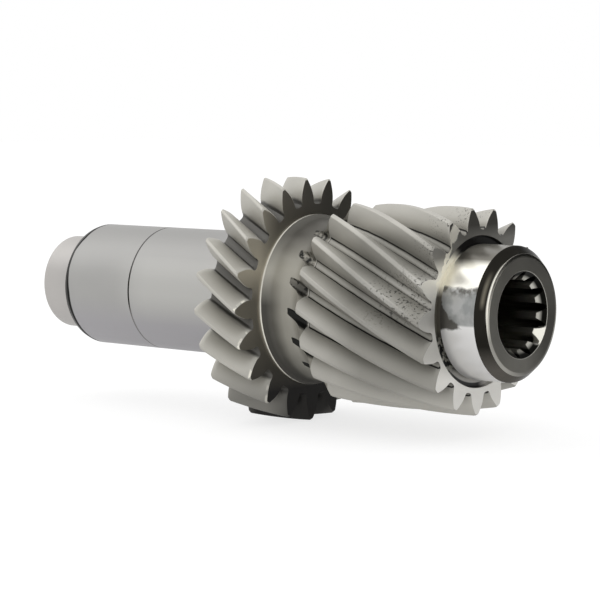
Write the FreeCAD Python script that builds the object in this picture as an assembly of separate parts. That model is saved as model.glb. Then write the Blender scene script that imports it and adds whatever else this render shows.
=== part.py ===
import FreeCAD, Part

import math
import os

from FreeCAD import Vector

# Intermediate shaft of a gearbox: forged, turned, hobbed and ground as one piece of steel.
# It carries a wide helical pinion and a larger helical gear, both cut from the same metal.
# The frame: +X runs along the shaft towards the splined end, +Z is up, and the origin is on
# the axis at the middle of the bearing journal beside the splined end.
# Lengths are in millimetres. Angles are in degrees, measured from +Z towards -Y.

# Both toothed sections are cut with the same basic rack.
NORMAL_MODULE = 3.5
NORMAL_PRESSURE_ANGLE = 20.0

# Large gear
GEAR_TEETH = 21
GEAR_HELIX = 30.0
GEAR_WIDTH = 20.7
GEAR_ADDENDUM = 1.40 * NORMAL_MODULE
GEAR_DEDENDUM = 1.45 * NORMAL_MODULE
GEAR_PROFILE_SHIFT = 0.0
GEAR_ROOT_CORNER = 0.5
GEAR_TIP_CHAMFER = 0.6
GEAR_TOOTH_AT_FACE = 6.2

# Pinion
PINION_TEETH = 17
PINION_HELIX = 24.5
PINION_WIDTH = 56.4
PINION_ADDENDUM = 1.00 * NORMAL_MODULE
PINION_DEDENDUM = 1.25 * NORMAL_MODULE
PINION_PROFILE_SHIFT = 0.6 * NORMAL_MODULE
PINION_ROOT_CORNER = 0.4
PINION_TIP_CHAMFER = 0.6
PINION_TOOTH_AT_FACE = 8.0

# The small hob that cuts the pinion stops short of the large gear and leaves run-out gashes.
HOB_RADIUS = 20.0
HOB_TO_GEAR_CLEARANCE = 0.6

# Neck between the gear and the pinion. A cove leads down to it from the lip on the gear's side
# face, and another leads up from it to the steep shoulder that the pinion's teeth end in.
NECK_LENGTH = 22.5
NECK_RADIUS = 31.4
LIP_WIDTH = 1.0
LIP_HEIGHT = 1.9
LIP_COVE_LENGTH = 3.9
SHOULDER_COVE_LENGTH = 6.0
SHOULDER_COVE_HEIGHT = 2.6
SHOULDER_LENGTH = 2.5

# Bearing journal and the end of the shaft beside it
JOURNAL_RADIUS = 25.0
JOURNAL_LENGTH = 15.2
END_CHAMFER_LENGTH = 3.6
END_CHAMFER_HEIGHT = 3.0

# Groove in the pinion's side face round the journal, where its grinding wheel runs out
FACE_GROOVE_RADIUS = 28.0
FACE_GROOVE_DEPTH = 1.6
FACE_GROOVE_SLOPE = 0.4

# Long ground seat on the other side of the large gear
SEAT_RADIUS = 25.0
SEAT_LENGTH = 91.1
SEAT_LEAD_LENGTH = 1.8
SEAT_LEAD_HEIGHT = 0.6
MARK_FROM_SEAT_END = 37.2
MARK_WIDTH = 0.8
MARK_DEPTH = 0.3

# Small stub at the far end
STUB_RADIUS = 19.25
STUB_LENGTH = 19.5
STUB_CHAMFER = 1.5

# Relief groove where the seat's grinding wheel runs out against the large gear
RELIEF_WIDTH = 2.6
RELIEF_DEPTH = 0.7

# Involute spline in the bore of the splined end
SPLINE_MODULE = 2.0
SPLINE_TEETH = 14
SPLINE_PRESSURE_ANGLE = 30.0
SPLINE_LENGTH = 38.0
SPLINE_TIP_CUT = 0.5 * SPLINE_MODULE
SPLINE_ROOT_CUT = 0.8 * SPLINE_MODULE
SPLINE_TOOTH_AT_FACE = 7.0
MOUTH_CHAMFER = 0.4

# The bore past the spline: a relief that the shaping tool runs out into, then a drilled tail
BORE_RELIEF_WIDTH = 6.0
BORE_RELIEF_DEPTH = 0.6
SPLINE_RUN_OUT = 3.0
BORE_RADIUS = 12.0
BORE_TAIL = 10.0
DRILL_POINT_ANGLE = 118.0

# Centre hole in the stub's end
CENTRE_MOUTH_RADIUS = 5.0
CENTRE_CONE_ANGLE = 60.0
CENTRE_DRILL_RADIUS = 2.0
CENTRE_DRILL_LENGTH = 5.0

# Straight steps that flanks and coves are drawn in
FLANK_STEPS = 3
SPLINE_FLANK_STEPS = 2
COVE_STEPS = 3

# Stretches between the sections that a cutter of a tooth space is lofted through
GEAR_STRETCHES = 4
RUN_OUT_STRETCHES = 5
PINION_STRETCHES = 7

# How far a cutter reaches past what it cuts
OVERCUT = 2.0

AXIS_POINT = Vector(0, 0, 0)
AXIS = Vector(1, 0, 0)


def involute(angle):
    return math.tan(angle) - angle


def spread(start, end, steps):
    """Evenly spaced values from start to end, both included."""
    return [start + (end - start) * i / steps for i in range(steps + 1)]


def hob_rise(travel):
    """How far the hob's rim has risen out of the cut, at this distance from its middle."""
    return HOB_RADIUS - math.sqrt(HOB_RADIUS**2 - travel**2)


def hob_travel(rise):
    """Distance from the hob's middle at which its rim has risen this far."""
    return math.sqrt(HOB_RADIUS**2 - max(0.0, HOB_RADIUS - rise) ** 2)


class HelicalTeeth:
    """One helical toothed section, described in the plane across the shaft."""

    def __init__(self, count, helix, addendum, dedendum, shift, root_corner):
        normal_pressure = math.radians(NORMAL_PRESSURE_ANGLE)
        self.count = count
        self.slant = math.cos(math.radians(helix))
        self.pitch_radius = NORMAL_MODULE * count / self.slant / 2
        self.tip_radius = self.pitch_radius + addendum + shift
        self.root_radius = self.pitch_radius - dedendum + shift
        self.root_corner = root_corner
        self.pressure = math.atan(math.tan(normal_pressure) / self.slant)
        self.base_radius = self.pitch_radius * math.cos(self.pressure)
        thickness = math.pi * NORMAL_MODULE / 2 + 2 * shift * math.tan(normal_pressure)
        self.half_tooth = thickness / self.slant / (2 * self.pitch_radius)
        self.turn_per_mm = math.tan(math.radians(helix)) / self.pitch_radius

    def half_space(self, radius):
        """Half of a tooth space at a radius, in radians. Inside the base circle it stays the same."""
        here = math.acos(min(1.0, self.base_radius / radius))
        half_tooth = self.half_tooth + involute(self.pressure) - involute(here)
        return math.pi / self.count - half_tooth

    def space_outline(self):
        """Corners round one tooth space as (side, out), on the true involute above the root."""
        root_half = self.half_space(self.root_radius) - self.root_corner / self.root_radius
        places = [(self.root_radius, root_half)]
        flank_foot = self.root_radius + 2 * self.root_corner
        for radius in spread(flank_foot, self.tip_radius + self.root_corner, FLANK_STEPS)[1:]:
            places.append((radius, self.half_space(radius)))
        half = [(radius * math.sin(angle), radius * math.cos(angle)) for radius, angle in places]
        return [(-side, out) for side, out in half] + [(0, self.tip_radius + OVERCUT)] + half[::-1]

    def space_section(self, x, turn, rise):
        """Outline of one tooth space in the plane at x, moved out from the axis by its rise."""
        corners = [across_shaft(x, turn, side, out + rise) for side, out in self.space_outline()]
        return Part.makePolygon(corners + corners[:1])

    def spaces(self, stations, face, tooth_at_face, rise_at):
        """Cutters of every tooth space, lofted along the helix through the stations."""
        start = math.radians(tooth_at_face) + math.pi / self.count
        sections = []
        for x in stations:
            turn = start + self.turn_per_mm * (x - face)
            sections.append(self.space_section(x, turn, rise_at(x)))
        return around_axis(Part.makeLoft(sections, True, False), self.count)


class Outline:
    """Half section of a turned surface: x runs along the shaft and r out from its axis."""

    def __init__(self, x, r):
        self.points = [Vector(x, 0, r)]

    def to(self, x, r):
        self.points.append(Vector(x, 0, r))

    def cove(self, x, r):
        """Hollow arc to a point, level with the axis at its lower end, in straight steps."""
        start = self.points[-1]
        end = Vector(x, 0, r)
        low, high = (start, end) if start.z < end.z else (end, start)
        length = high.x - low.x
        height = high.z - low.z
        radius = (length**2 + height**2) / (2 * height)
        turns = spread(0, math.asin(length / radius), COVE_STEPS)
        arc = [low + Vector(radius * math.sin(turn), 0, radius * (1 - math.cos(turn))) for turn in turns]
        if low is end:
            arc.reverse()
        self.points += arc[1:]

    def relief(self, shoulder, radius):
        """Groove on the left of a shoulder."""
        floor = radius - RELIEF_DEPTH
        self.to(shoulder - RELIEF_WIDTH, radius)
        self.to(shoulder - RELIEF_WIDTH + RELIEF_DEPTH, floor)
        self.to(shoulder, floor)

    def turned(self):
        ring = Part.makePolygon(self.points + self.points[:1])
        return Part.Face(ring).revolve(AXIS_POINT, AXIS, 360)


def across_shaft(x, turn, side, out):
    """Point in the plane at x: side runs round the rim and out away from the axis, then both turn."""
    y = -(out * math.sin(turn) + side * math.cos(turn))
    z = out * math.cos(turn) - side * math.sin(turn)
    return Vector(x, y, z)


def around_axis(shape, count):
    """Copies of a shape in a ring about the shaft's axis."""
    copies = []
    for i in range(count):
        copy = shape.copy()
        copy.rotate(AXIS_POINT, AXIS, 360.0 * i / count)
        copies.append(copy)
    return copies


gear = HelicalTeeth(
    GEAR_TEETH, GEAR_HELIX, GEAR_ADDENDUM, GEAR_DEDENDUM, GEAR_PROFILE_SHIFT, GEAR_ROOT_CORNER
)
pinion = HelicalTeeth(
    PINION_TEETH, PINION_HELIX, PINION_ADDENDUM, PINION_DEDENDUM, PINION_PROFILE_SHIFT, PINION_ROOT_CORNER
)

# Places along the shaft, worked out from the lengths
journal_right = JOURNAL_LENGTH / 2
end_face = journal_right + END_CHAMFER_LENGTH
pinion_right = -JOURNAL_LENGTH / 2
pinion_left = pinion_right - PINION_WIDTH
gear_right = pinion_left - NECK_LENGTH
gear_left = gear_right - GEAR_WIDTH
seat_left = gear_left - RELIEF_WIDTH - SEAT_LENGTH
stub_left = seat_left - STUB_LENGTH

# Radii of the internal spline
spline_pitch = SPLINE_MODULE * SPLINE_TEETH / 2
spline_tip = spline_pitch - SPLINE_TIP_CUT
spline_root = spline_pitch + SPLINE_ROOT_CUT


def turned_blank():
    """The shaft as it leaves the lathe, with plain rims where the teeth will be cut."""
    half = Outline(stub_left, 0)
    half.to(stub_left, STUB_RADIUS - STUB_CHAMFER)
    half.to(stub_left + STUB_CHAMFER, STUB_RADIUS)
    half.to(seat_left, STUB_RADIUS)
    half.to(seat_left, SEAT_RADIUS - SEAT_LEAD_HEIGHT)
    half.to(seat_left + SEAT_LEAD_LENGTH, SEAT_RADIUS)
    mark = seat_left + MARK_FROM_SEAT_END
    half.to(mark - MARK_WIDTH / 2, SEAT_RADIUS)
    half.to(mark, SEAT_RADIUS - MARK_DEPTH)
    half.to(mark + MARK_WIDTH / 2, SEAT_RADIUS)
    half.relief(gear_left, SEAT_RADIUS)
    half.to(gear_left, gear.tip_radius - GEAR_TIP_CHAMFER)
    half.to(gear_left + GEAR_TIP_CHAMFER, gear.tip_radius)
    half.to(gear_right - GEAR_TIP_CHAMFER, gear.tip_radius)
    half.to(gear_right, gear.tip_radius - GEAR_TIP_CHAMFER)
    half.to(gear_right, NECK_RADIUS + LIP_HEIGHT)
    half.to(gear_right + LIP_WIDTH, NECK_RADIUS + LIP_HEIGHT)
    half.cove(gear_right + LIP_WIDTH + LIP_COVE_LENGTH, NECK_RADIUS)
    shoulder_foot = pinion_left - SHOULDER_LENGTH
    half.to(shoulder_foot - SHOULDER_COVE_LENGTH, NECK_RADIUS)
    half.cove(shoulder_foot, NECK_RADIUS + SHOULDER_COVE_HEIGHT)
    half.to(pinion_left, pinion.tip_radius)
    half.to(pinion_right - PINION_TIP_CHAMFER, pinion.tip_radius)
    half.to(pinion_right, pinion.tip_radius - PINION_TIP_CHAMFER)
    half.to(pinion_right, FACE_GROOVE_RADIUS)
    half.to(pinion_right - FACE_GROOVE_DEPTH, FACE_GROOVE_RADIUS - FACE_GROOVE_SLOPE)
    half.to(pinion_right - FACE_GROOVE_DEPTH, JOURNAL_RADIUS - FACE_GROOVE_SLOPE)
    half.to(pinion_right, JOURNAL_RADIUS)
    half.to(journal_right, JOURNAL_RADIUS)
    half.to(end_face, JOURNAL_RADIUS - END_CHAMFER_HEIGHT)
    half.to(end_face, 0)
    return half.turned()


def gear_spaces():
    """Tooth spaces of the large gear, cut right through from face to face."""
    stations = spread(gear_left - OVERCUT, gear_right + OVERCUT, GEAR_STRETCHES)
    return gear.spaces(stations, gear_right, GEAR_TOOTH_AT_FACE, lambda x: 0.0)


def pinion_spaces():
    """Tooth spaces of the pinion, which rise out of the neck along the rim of the hob."""
    clear_rise = gear.tip_radius + HOB_TO_GEAR_CLEARANCE - pinion.root_radius
    hob_stop = gear_right + pinion.slant * hob_travel(clear_rise)
    exit_rise = max(0.0, NECK_RADIUS - pinion.root_radius) + OVERCUT
    exit_end = hob_stop - pinion.slant * hob_travel(exit_rise)

    def rise_at(x):
        return hob_rise(max(0.0, hob_stop - x) / pinion.slant)

    run_out = spread(exit_end, hob_stop, RUN_OUT_STRETCHES)
    full_depth = spread(hob_stop, pinion_right + OVERCUT, PINION_STRETCHES)
    return pinion.spaces(run_out + full_depth[1:], pinion_right, PINION_TOOTH_AT_FACE, rise_at)


def bore_hole():
    """Bore of the splined end: mouth chamfer, spline, relief, drilled tail and drill point."""
    spline_end = end_face - SPLINE_LENGTH
    relief_end = spline_end - BORE_RELIEF_WIDTH
    tail_end = relief_end - BORE_TAIL
    point_length = BORE_RADIUS / math.tan(math.radians(DRILL_POINT_ANGLE / 2))
    mouth_radius = spline_root + MOUTH_CHAMFER
    half = Outline(end_face + OVERCUT, 0)
    half.to(end_face + OVERCUT, mouth_radius + OVERCUT)
    half.to(end_face - (mouth_radius - spline_tip), spline_tip)
    half.to(spline_end, spline_tip)
    half.to(spline_end, spline_root + BORE_RELIEF_DEPTH)
    half.to(relief_end, spline_root + BORE_RELIEF_DEPTH)
    half.to(relief_end, BORE_RADIUS)
    half.to(tail_end, BORE_RADIUS)
    half.to(tail_end - point_length, 0)
    return half.turned()


def spline_spaces():
    """Straight spaces of the internal spline, each an involute wedge along the bore."""
    pressure = math.radians(SPLINE_PRESSURE_ANGLE)
    base_radius = spline_pitch * math.cos(pressure)
    quarter = math.pi / (2 * SPLINE_TEETH)
    half = []
    flank_foot = max(base_radius, spline_tip - BORE_RELIEF_DEPTH)
    for radius in spread(flank_foot, spline_root, SPLINE_FLANK_STEPS):
        angle = quarter + involute(pressure) - involute(math.acos(base_radius / radius))
        half.append((radius * math.sin(angle), radius * math.cos(angle)))
    ring = [(-side, out) for side, out in half] + half[::-1]
    turn = math.radians(SPLINE_TOOTH_AT_FACE) + 2 * quarter
    corners = [across_shaft(end_face, turn, side, out) for side, out in ring]
    length = SPLINE_LENGTH + SPLINE_RUN_OUT
    space = Part.Face(Part.makePolygon(corners + corners[:1])).extrude(Vector(-length, 0, 0))
    return around_axis(space, SPLINE_TEETH)


def centre_hole():
    """Centre hole in the stub's end, which held the shaft between the lathe's centres."""
    taper = math.tan(math.radians(CENTRE_CONE_ANGLE / 2))
    cone_end = stub_left + (CENTRE_MOUTH_RADIUS - CENTRE_DRILL_RADIUS) / taper
    half = Outline(stub_left - OVERCUT, 0)
    half.to(stub_left - OVERCUT, CENTRE_MOUTH_RADIUS + OVERCUT * taper)
    half.to(cone_end, CENTRE_DRILL_RADIUS)
    half.to(cone_end + CENTRE_DRILL_LENGTH, CENTRE_DRILL_RADIUS)
    half.to(cone_end + CENTRE_DRILL_LENGTH, 0)
    return half.turned()


def intermediate_shaft():
    shaft = turned_blank()
    shaft = shaft.cut(gear_spaces())
    shaft = shaft.cut(pinion_spaces())
    shaft = shaft.cut(bore_hole())
    shaft = shaft.cut(spline_spaces())
    return shaft.cut(centre_hole())


shaft = intermediate_shaft()
os.makedirs("parts", exist_ok=True)
shaft.exportStep("parts/intermediate_shaft.step")
print("solids", len(shaft.Solids), "faces", len(shaft.Faces), "valid", shaft.isValid())
print("length", round(end_face - stub_left, 2), "volume", round(shaft.Volume))
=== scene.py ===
# %% [markdown]
# # Intermediate shaft of a gearbox
# The real shaft is one piece of steel: turned on a lathe, toothed by a hob, then ground where
# bearings and gears sit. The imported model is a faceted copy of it, made for collision and size.
# This lesson rebuilds its surfaces finely, in four pieces that meet inside the metal, and gives
# each kind of cut its own finish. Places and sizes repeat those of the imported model.

import math

import bpy
import bmesh
import numpy as np
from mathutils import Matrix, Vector


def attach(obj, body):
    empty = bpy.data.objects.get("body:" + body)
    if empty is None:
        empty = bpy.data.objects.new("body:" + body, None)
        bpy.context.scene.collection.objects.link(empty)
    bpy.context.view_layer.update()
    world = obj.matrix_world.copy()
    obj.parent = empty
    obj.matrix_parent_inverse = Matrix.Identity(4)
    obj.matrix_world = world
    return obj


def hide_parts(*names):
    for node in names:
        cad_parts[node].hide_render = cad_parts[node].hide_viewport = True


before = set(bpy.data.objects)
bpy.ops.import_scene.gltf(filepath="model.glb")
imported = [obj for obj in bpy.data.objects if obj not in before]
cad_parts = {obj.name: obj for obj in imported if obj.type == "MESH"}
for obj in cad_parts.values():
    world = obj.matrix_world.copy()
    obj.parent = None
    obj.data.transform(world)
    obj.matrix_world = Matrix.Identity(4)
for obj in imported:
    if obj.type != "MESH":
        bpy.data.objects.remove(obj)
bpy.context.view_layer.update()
NODE = "intermediate_shaft"
MM = 0.001

# %% [markdown]
# ## Sizes
# A gear maker works from a few numbers: the module, the tooth count, the helix angle, and how
# far the teeth stand above and below the pitch circle. Everything here follows from them, in
# millimetres. X runs along the shaft towards the splined end, and angles are measured from the
# top towards the camera's side.

# %% Named sizes
NORMAL_MODULE = 3.5
NORMAL_PRESSURE = math.radians(20)
GEAR = dict(teeth=21, helix=math.radians(30), addendum=4.9, dedendum=5.075, shift=0.0)
PINION = dict(teeth=17, helix=math.radians(24.5), addendum=3.5, dedendum=4.375, shift=2.1)
GEAR_TOOTH_AT_FACE = math.radians(6.2)
PINION_TOOTH_AT_FACE = math.radians(8.0)
SPLINE_TOOTH_AT_FACE = math.radians(7.0)

END_FACE = 11.2
JOURNAL_RIGHT = 7.6
PINION_RIGHT = -7.6
PINION_LEFT = -64.0
SHOULDER_FOOT = PINION_LEFT - 2.5
SHOULDER_COVE_START = SHOULDER_FOOT - 6.0
GROUND_FROM = -64.9
GEAR_RIGHT = -86.5
GEAR_LEFT = -107.2
SEAT_LEFT = -200.9
STUB_LEFT = -220.4
MARK = SEAT_LEFT + 37.2
SHAFT_RADIUS = 25.0
STUB_RADIUS = 19.25
NECK_RADIUS = 31.4
LIP_RADIUS = 33.3
LIP_RIGHT = GEAR_RIGHT + 1.0
LIP_COVE_END = LIP_RIGHT + 3.9
SHOULDER_FOOT_RADIUS = 34.0
GROOVE_WIDTH = 2.6
GROOVE_DEPTH = 0.7
FACE_GROOVE_RADIUS = 28.0
FACE_GROOVE_DEPTH = 1.6
FACE_GROOVE_SLOPE = 0.4
HOB_RADIUS = 20.0
HOB_TO_GEAR = 0.6
TIP_CHAMFER = 0.6
INNER_RADIUS = 20.0
SPLINE_TEETH = 14
SPLINE_TIP = 13.0
SPLINE_PITCH = 14.0
SPLINE_ROOT = 15.6
MOUTH_RADIUS = 16.0
SPLINE_END = END_FACE - 38
BORE_RELIEF_END = SPLINE_END - 6
BORE_TAIL_END = BORE_RELIEF_END - 10
BORE_RADIUS = 12.0
print("shaft: %.1f mm long" % (END_FACE - STUB_LEFT))

# %% [markdown]
# ## The tooth's own curve
# The flank of a gear tooth is an involute, the path of a string's end as it unwinds from a
# circle. A helical tooth is described in the plane across the shaft, so its normal module is
# divided by the cosine of the helix angle. The space between two teeth is what the hob cuts,
# so the space is drawn, not the tooth: root, rounded corner, flank.


# %% Involute space between two teeth
ROOT_ROUNDING = 1.25
PAST_TIP = 1.5


def involute(angle):
    return math.tan(angle) - angle


def toothing(spec):
    """Adds the radii and angles that follow from a toothed section's main numbers."""
    slant = math.cos(spec["helix"])
    pitch = NORMAL_MODULE * spec["teeth"] / slant / 2
    pressure = math.atan(math.tan(NORMAL_PRESSURE) / slant)
    thickness = math.pi * NORMAL_MODULE / 2 + 2 * spec["shift"] * math.tan(NORMAL_PRESSURE)
    return dict(
        spec,
        slant=slant,
        pressure=pressure,
        base=pitch * math.cos(pressure),
        tip=pitch + spec["addendum"] + spec["shift"],
        root=pitch - spec["dedendum"] + spec["shift"],
        half_tooth=thickness / slant / (2 * pitch),
        turn_per_mm=math.tan(spec["helix"]) / pitch,
        half_pitch=math.pi / spec["teeth"],
    )


def half_space(cut, radius):
    """Half of the angle of a tooth space at a radius."""
    here = math.acos(min(1.0, cut["base"] / radius))
    half_tooth = cut["half_tooth"] + involute(cut["pressure"]) - involute(here)
    return cut["half_pitch"] - half_tooth


def rounded_corner(before, corner, after, steps):
    """Points on a curve that leaves before, bends at corner and arrives at after."""
    t = np.linspace(0, 1, steps)[:, None]
    return (1 - t) ** 2 * before + 2 * t * (1 - t) * corner + t**2 * after


def at_angle(radius, angle):
    return np.array([radius * math.sin(angle), radius * math.cos(angle)])


def space_curve(cut):
    """Half a tooth space as (side, out): from the middle of its root out past the tip."""
    root = cut["root"]
    corner_angle = half_space(cut, root)
    start_angle = max(0.25 * corner_angle, corner_angle - ROOT_ROUNDING / root)
    arc = [at_angle(root, a) for a in np.linspace(0, start_angle, 4)]
    radii = np.linspace(root + ROOT_ROUNDING, cut["tip"] + PAST_TIP, 40)
    flank = [at_angle(r, half_space(cut, r)) for r in radii]
    bend = rounded_corner(arc[-1], at_angle(root, corner_angle), flank[0], 9)
    return np.vstack([arc, bend[1:-1], flank])


gear_cut = toothing(GEAR)
pinion_cut = toothing(PINION)
print("gear: root %.2f, tip %.2f mm" % (gear_cut["root"], gear_cut["tip"]))
print("pinion: root %.2f, tip %.2f mm" % (pinion_cut["root"], pinion_cut["tip"]))

# %% [markdown]
# ## One pitch of a section
# A toothed section is the same all round, so only one pitch of it is drawn: half a land, a
# space, half a land. Each place along the shaft gives one row of points. A row is told how far
# the hob has risen out of the cut there, and how high the blank stands, so the same columns
# shrink away where the hob climbs out of the metal. A small chamfer breaks the land's edge,
# because edges catch the light.

# %% Rows of points across one pitch
LAND_COLUMNS = 3
EDGE = 0.22
CORNER_FROM = 0.14
CORNER_TO = 0.42
SAMPLES = np.concatenate([
    np.linspace(0, CORNER_FROM, 3)[:-1],
    np.linspace(CORNER_FROM, CORNER_TO, 7),
    np.linspace(CORNER_TO, 1, 8)[1:],
])
print("points on half a space:", len(SAMPLES))


def lengths(curve):
    """Distance along a curve at each of its points."""
    return np.concatenate([[0], np.cumsum(np.hypot(*np.diff(curve, axis=0).T))])


def along(curve, distance):
    """Points at these distances along a curve."""
    place = lengths(curve)
    return np.column_stack([np.interp(distance, place, curve[:, i]) for i in (0, 1)])


def crossing(curve, rim):
    """Distance along a curve to the blank's rim, or 0 if the curve starts outside it."""
    radii = np.hypot(*curve.T)
    return 0.0 if radii[0] >= rim else float(np.interp(rim, radii, lengths(curve)))


def both_halves(radii, angles, hollow):
    """A whole row from its half, mirrored at the middle of the space."""
    back = slice(None, 0, -1)
    angles = np.concatenate([-angles[back], angles])
    return np.append(radii[back], radii), angles, np.append(hollow[back], hollow)


def pitch_row(cut, rim, rise=0.0, inset=0.0):
    """Radii, angles and hollow values of one row, from land to land across a space."""
    curve = space_curve(cut) + np.array([0.0, rise])
    if inset:
        tangent = np.gradient(curve, axis=0)
        tangent /= np.hypot(*tangent.T)[:, None]
        curve = curve + inset * np.column_stack([tangent[:, 1], -tangent[:, 0]])
        curve[0, 0] = 0.0
    length = crossing(curve, rim)
    edge = min(EDGE, length / 3)
    points = along(curve, SAMPLES * (length - edge))
    radii = np.hypot(*points.T)
    angles = np.arctan2(points[:, 0], points[:, 1])
    if length == 0:
        radii[:] = rim
        angles[:] = 0
    end = along(curve, np.array([length]))[0] if length else np.array([0.0, rim])
    rim_angle = math.atan2(end[0], end[1]) + edge / rim
    land = np.linspace(rim_angle, cut["half_pitch"], LAND_COLUMNS)
    radii = np.concatenate([radii, np.full(LAND_COLUMNS, rim)])
    angles = np.concatenate([angles, land])
    hollow = np.clip((rim - radii) / (cut["tip"] - cut["root"]), 0, 1)
    return both_halves(radii, angles, hollow)


def round_rows(cut, columns, profile):
    """Rows that lie on circles, for (x, radius, finish) points."""
    angles = np.linspace(-cut["half_pitch"], cut["half_pitch"], columns)
    return [(x, np.full(columns, radius), angles, angles * 0, f) for x, radius, f in profile]


# %% [markdown]
# A sector is those rows joined into faces. Two things are stored with it for later: how deep
# each point lies in its tooth space, and which finish each face has.

# %% Turn rows into a sector mesh
def on_shaft(x, radius, angle):
    return x * MM, -radius * math.sin(angle) * MM, radius * math.cos(angle) * MM


def sector(name, rows, closed):
    """rows holds (x, radii, angles, hollow, finish of the faces up to the next row)."""
    columns = len(rows[0][1])
    points, hollows = [], []
    for x, radii, angles, hollow, finish in rows:
        points += [on_shaft(x, radius, angle) for radius, angle in zip(radii, angles)]
        hollows += list(hollow)
    faces, finishes = [], []
    for i in range(len(rows) if closed else len(rows) - 1):
        j = (i + 1) % len(rows)
        for k in range(columns - 1):
            here, there = i * columns + k, j * columns + k
            faces.append((here, here + 1, there + 1, there))
        finishes += list(np.broadcast_to(rows[i][4], columns - 1))
    mesh = bpy.data.meshes.new(name)
    mesh.from_pydata(points, [], faces)
    mesh.attributes.new("hollow", "FLOAT", "POINT").data.foreach_set("value", hollows)
    mesh.attributes.new("finish", "INT", "FACE").data.foreach_set("value", finishes)
    print(f"{name}: {len(rows)} rows of {columns} points")
    return mesh


# %% [markdown]
# ## Geometry Nodes: wind the pitch up and repeat it
# What repeats round an axis is a job for Geometry Nodes. This tree turns each point about the
# shaft by an angle that grows along it, which makes the helix, then sets one copy per tooth
# round the axis, makes them real, welds their seams and hands out the finishes. The large
# gear, the pinion and the spline share it, with other inputs.


# %% Build the tree
def feed(tree, node, name, value, kind=None):
    """Fills a node's input: a value is set, and another node's output is linked."""
    named = [s for s in node.inputs if s.name == name and kind in (None, s.type)]
    target = node.inputs[name] if isinstance(name, int) else named[0]
    if isinstance(value, bpy.types.NodeSocket):
        tree.links.new(value, target)
    else:
        target.default_value = value


def new_node(tree, kind, **inputs):
    node = tree.nodes.new(kind)
    for name, value in inputs.items():
        feed(tree, node, name.replace("_", " "), value)
    return node


def output_of(tree, kind, **inputs):
    return new_node(tree, kind, **inputs).outputs[0]


def math_node(tree, operation, first, second=None):
    node = tree.nodes.new("ShaderNodeMath")
    node.operation = operation
    feed(tree, node, 0, first)
    if second is not None:
        feed(tree, node, 1, second)
    return node.outputs[0]


FINISHES = 6
TREE_INPUTS = {
    "Geometry": "Geometry", "Teeth": "Int", "Face X": "Float", "Turn per metre": "Float",
    "First space": "Float", "Weld distance": "Float",
    **{f"Finish {number}": "Material" for number in range(FINISHES)},
}
ring = bpy.data.node_groups.new("toothed_ring", "GeometryNodeTree")
for name, kind in TREE_INPUTS.items():
    ring.interface.new_socket(name, in_out="INPUT", socket_type="NodeSocket" + kind)
ring.interface.new_socket("Geometry", in_out="OUTPUT", socket_type="NodeSocketGeometry")
source = ring.nodes.new("NodeGroupInput").outputs

# Wind one pitch into a helix.
place = output_of(ring, "GeometryNodeInputPosition")
split = new_node(ring, "ShaderNodeSeparateXYZ", Vector=place)
travel = math_node(ring, "SUBTRACT", split.outputs["X"], source["Face X"])
turn = math_node(ring, "MULTIPLY", travel, source["Turn per metre"])
turn = math_node(ring, "ADD", turn, source["First space"])
wind = new_node(ring, "ShaderNodeVectorRotate", Vector=place, Angle=turn)
wind.rotation_type = "X_AXIS"
pitch = source["Geometry"]
pitch = output_of(ring, "GeometryNodeSetPosition", Geometry=pitch, Position=wind.outputs[0])

# Set one copy per tooth round the axis, make them real and weld them.
step = math_node(ring, "DIVIDE", math.tau, source["Teeth"])
angle = math_node(ring, "MULTIPLY", output_of(ring, "GeometryNodeInputIndex"), step)
euler = output_of(ring, "ShaderNodeCombineXYZ", X=angle)
turned = output_of(ring, "FunctionNodeEulerToRotation", Euler=euler)
spots = output_of(ring, "GeometryNodePoints", Count=source["Teeth"])
result = output_of(
    ring, "GeometryNodeInstanceOnPoints", Points=spots, Instance=pitch, Rotation=turned)
result = output_of(ring, "GeometryNodeRealizeInstances", Geometry=result)
weld = source["Weld distance"]
result = output_of(ring, "GeometryNodeMergeByDistance", Geometry=result, Distance=weld)

# Hand out the finishes.
finish = new_node(ring, "GeometryNodeInputNamedAttribute", Name="finish")
finish.data_type = "INT"
value = next(s for s in finish.outputs if s.type == "INT" and s.enabled)
for number in range(FINISHES):
    chosen = ring.nodes.new("FunctionNodeCompare")
    chosen.data_type = "INT"
    chosen.operation = "EQUAL"
    feed(ring, chosen, "A", value, "INT")
    feed(ring, chosen, "B", number, "INT")
    result = output_of(
        ring, "GeometryNodeSetMaterial", Geometry=result, Selection=chosen.outputs[0],
        Material=source[f"Finish {number}"])
ring.links.new(result, ring.nodes.new("NodeGroupOutput").inputs[0])
print("tree inputs:", list(TREE_INPUTS))


# %% [markdown]
# A modifier's input is set by the socket's identifier, before the object is first evaluated.
# The result is then made a plain mesh, with soft shading and hard edges where faces meet
# steeply, and the modifier goes.

# %% Run the tree and finish a mesh
WELD = 0.004
HARD_EDGE = math.radians(28)
shaft_pieces = []


def put(name, data):
    """Puts an object in the scene."""
    thing = bpy.data.objects.new(name, data)
    bpy.context.scene.collection.objects.link(thing)
    return thing


def finish_mesh(mesh, name):
    """Closes and smooths a mesh, and puts it in the scene as a piece of the shaft."""
    work = bmesh.new()
    work.from_mesh(mesh)
    bmesh.ops.remove_doubles(work, verts=work.verts, dist=WELD * MM)
    bmesh.ops.recalc_face_normals(work, faces=work.faces)
    holes = sum(len(edge.link_faces) != 2 for edge in work.edges)
    work.to_mesh(mesh)
    work.free()
    mesh.shade_smooth()
    mesh.set_sharp_from_angle(angle=HARD_EDGE)
    shaft_pieces.append(put(name, mesh))
    triangles = sum(len(p.vertices) - 2 for p in mesh.polygons)
    print(f"{name}: {triangles} triangles, {holes} open edges")


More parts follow.
